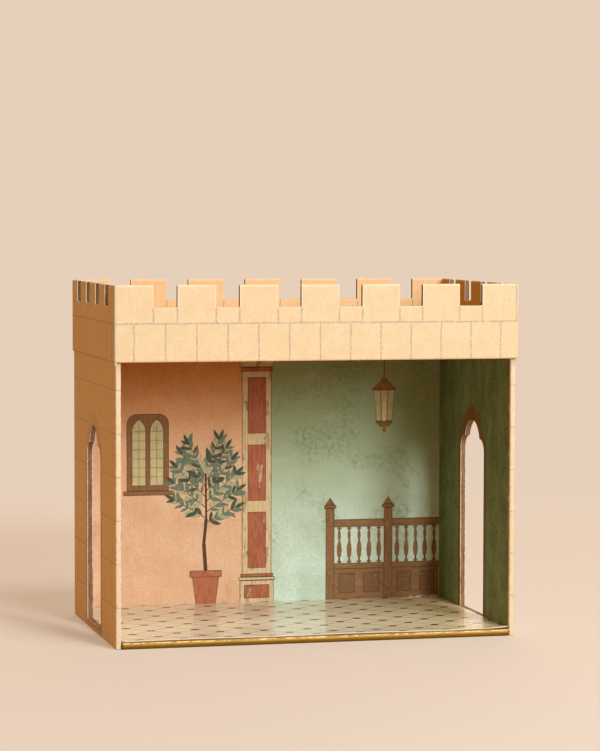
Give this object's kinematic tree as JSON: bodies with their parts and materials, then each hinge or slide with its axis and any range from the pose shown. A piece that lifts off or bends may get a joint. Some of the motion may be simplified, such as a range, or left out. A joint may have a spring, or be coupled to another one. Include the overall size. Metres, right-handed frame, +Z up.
{
  "type": "cardboard castle",
  "caption": "Open-fronted toy castle hall of printed board with an arched doorway in each side wall, a tiled floor and a battlemented roof tray.",
  "frame": {"origin": "on the ground below the middle of the crown, the bottom centre of the bounding box", "axes": "+X across the open front to the viewer's right, +Y from the open front to the back wall, +Z up"},
  "size_m": [0.34, 0.21, 0.294],
  "materials": {
    "greyboard": "matte",
    "stone_print": "matte",
    "peach_print": "matte",
    "green_print": "matte",
    "mural_print": "matte",
    "tile_print": "gloss",
    "gilt": "satin"
  },
  "bodies": {
    "root": {"base_board": "greyboard", "front_bead": "gilt", "floor_sheet": "tile_print", "left_wall": "greyboard", "right_wall": "greyboard", "back_wall": "greyboard", "stone_wrap": "stone_print", "left_lining": "peach_print", "right_lining": "green_print", "back_lining": "mural_print", "parapet": "greyboard", "parapet_wrap": "stone_print", "roof_deck": "stone_print"}
  },
  "joints": []
}
